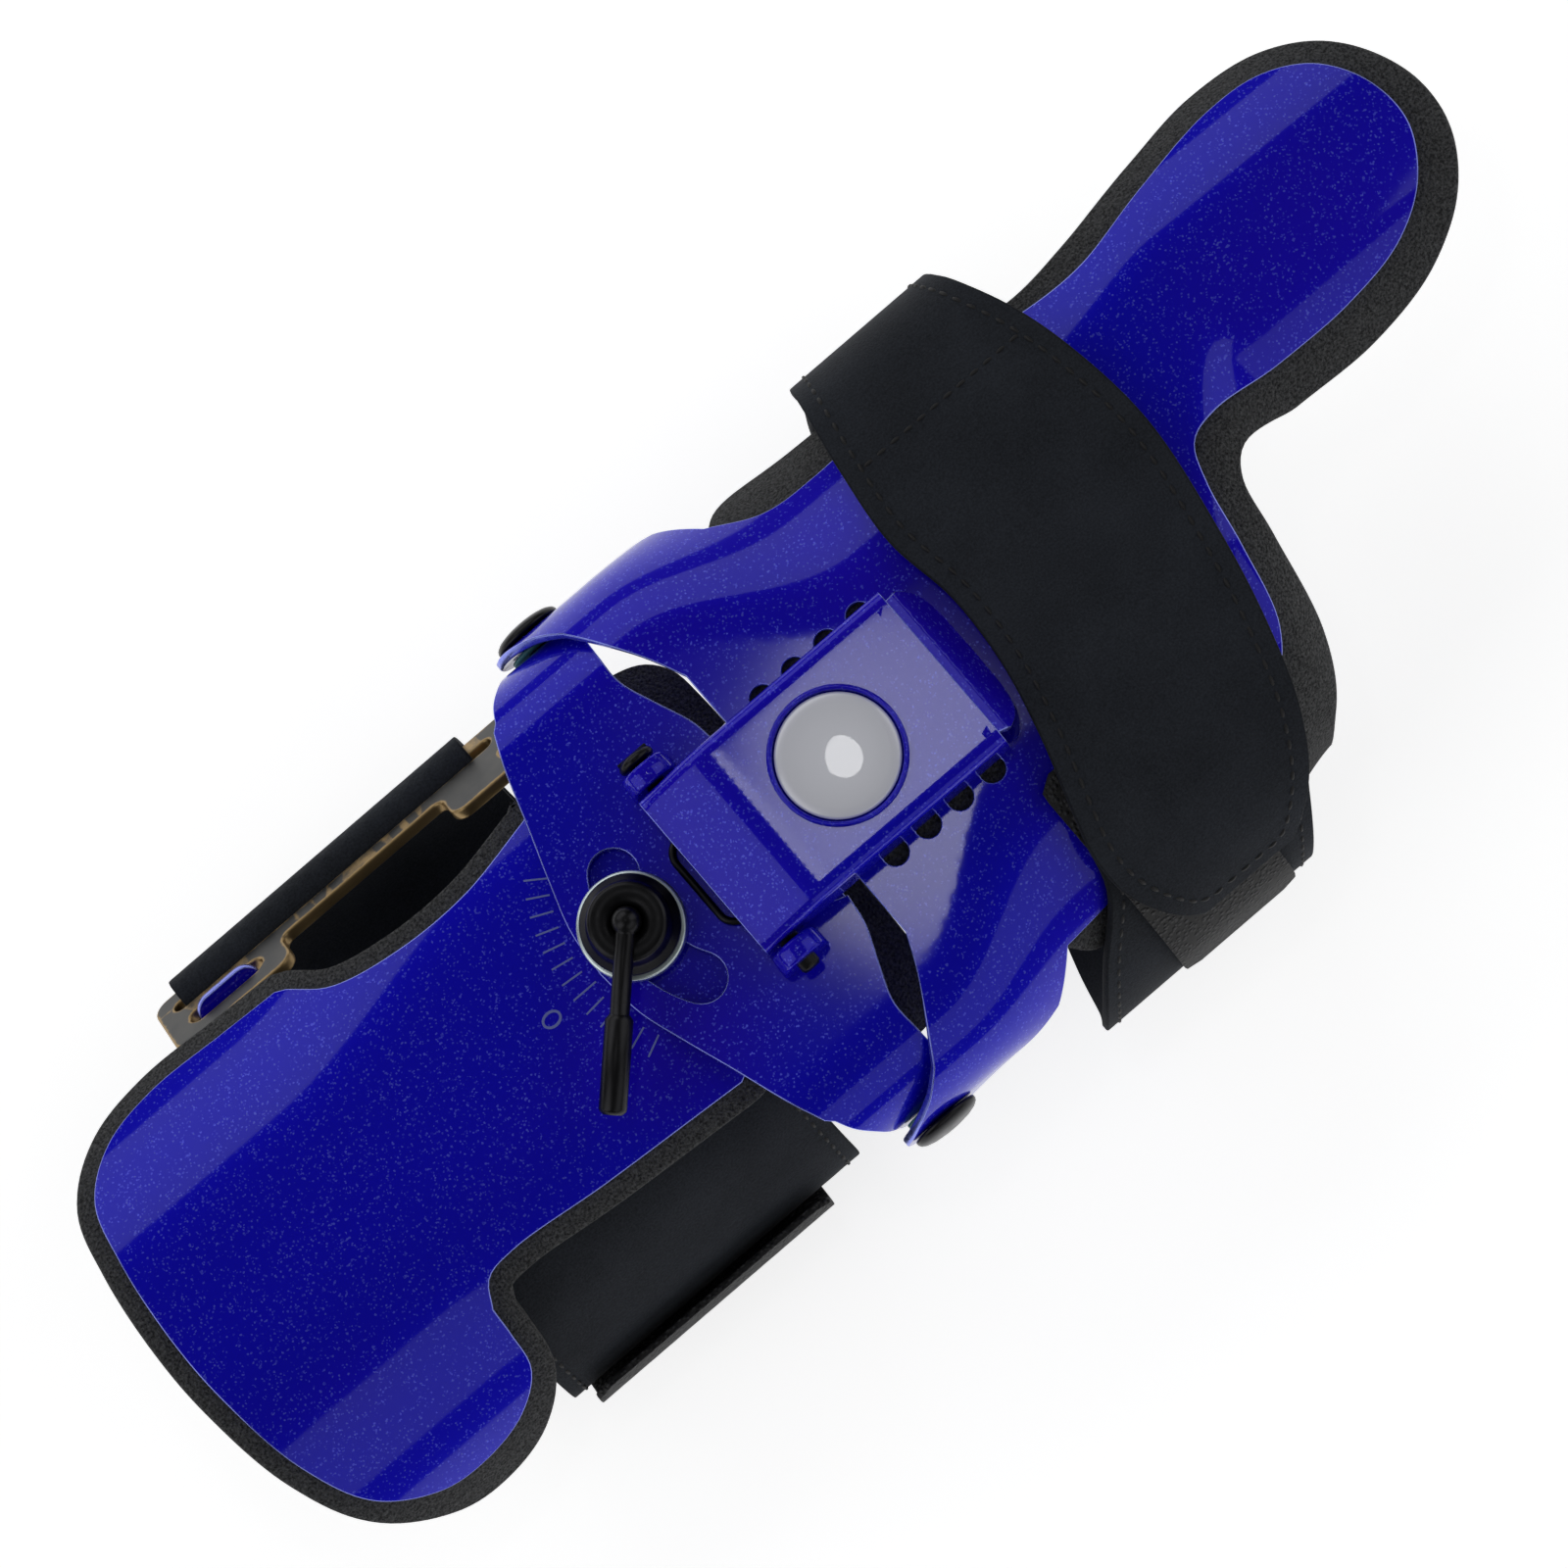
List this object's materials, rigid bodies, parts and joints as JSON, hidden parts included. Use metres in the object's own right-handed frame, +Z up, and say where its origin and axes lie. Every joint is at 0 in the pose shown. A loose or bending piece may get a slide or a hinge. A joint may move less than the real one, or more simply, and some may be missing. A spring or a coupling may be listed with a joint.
{
  "type": "bowling glove",
  "caption": "Metal wrist positioner glove for bowling with foam pads, two wrap straps, a hinged hand plate, a lateral turn and a latch cover.",
  "frame": {"origin": "middle of the bounding box, on the surface it rests on", "axes": "+X towards the fingertip, +Y towards the index finger's side, +Z up, out of the back of the hand"},
  "size_m": [0.2946, 0.1152, 0.0838],
  "materials": {
    "plate_blue": "gloss candy enamel with fine flake",
    "pad_foam": "matt closed-cell foam",
    "strap_black": "matt synthetic suede, stitched",
    "hook_tape": "matt hook tape",
    "black_steel": "black oxide, satin",
    "zinc": "zinc plate, satin",
    "buckle_bronze": "dark bronze, worn edges",
    "washer_teal": "translucent nylon",
    "badge_silver": "domed clear resin on silver"
  },
  "bodies": {
    "forearm": {"forearm_plate": "plate_blue", "forearm_pad": "pad_foam", "lateral_pivot": "black_steel", "clamp_bolt": "black_steel", "clamp_washer": "zinc", "buckle": "buckle_bronze", "forearm_strap": "strap_black", "forearm_hook_tape": "hook_tape"},
    "wrist": {"wrist_bracket": "plate_blue", "latch_pin": "black_steel", "latch_wire": "black_steel", "pivot_rivet_left": "black_steel", "pivot_rivet_right": "black_steel", "pivot_washer_left": "washer_teal", "pivot_washer_right": "washer_teal"},
    "hand": {"hand_plate": "plate_blue", "hand_pad": "pad_foam", "hand_strap": "strap_black", "hand_hook_patch": "hook_tape", "hand_strap_tab": "strap_black"},
    "cover": {"latch_cover": "plate_blue", "badge_disc": "badge_silver"},
    "knob": {"clamp_knob": "black_steel"},
    "lever": {"clamp_lever": "black_steel"}
  },
  "joints": [
    {"name": "lateral_turn", "type": "hinge", "parent": "forearm", "child": "wrist", "pos_m": [-0.02131, 0.00152, 0.068], "axis": [0, 0, 1], "range_deg": [-35, 25]},
    {"name": "cup_hinge", "type": "hinge", "parent": "wrist", "child": "hand", "pos_m": [-0.02361, 0.00152, 0.051], "axis": [0, 1, 0], "range_deg": [0, 28]},
    {"name": "latch_lift", "type": "hinge", "parent": "wrist", "child": "cover", "pos_m": [-0.02361, 0.00152, 0.0742], "axis": [0, -1, 0], "range_deg": [0, 75]},
    {"name": "knob_turn", "type": "hinge", "parent": "forearm", "child": "knob", "pos_m": [-0.04166, 0.00401, 0.073], "axis": [0, 0, 1], "range_deg": [-90, 40]},
    {"name": "lever_flip", "type": "hinge", "parent": "knob", "child": "lever", "pos_m": [-0.04166, 0.00401, 0.079], "axis": [-0.7071, 0.7071, 0], "range_deg": [0, 90]}
  ]
}
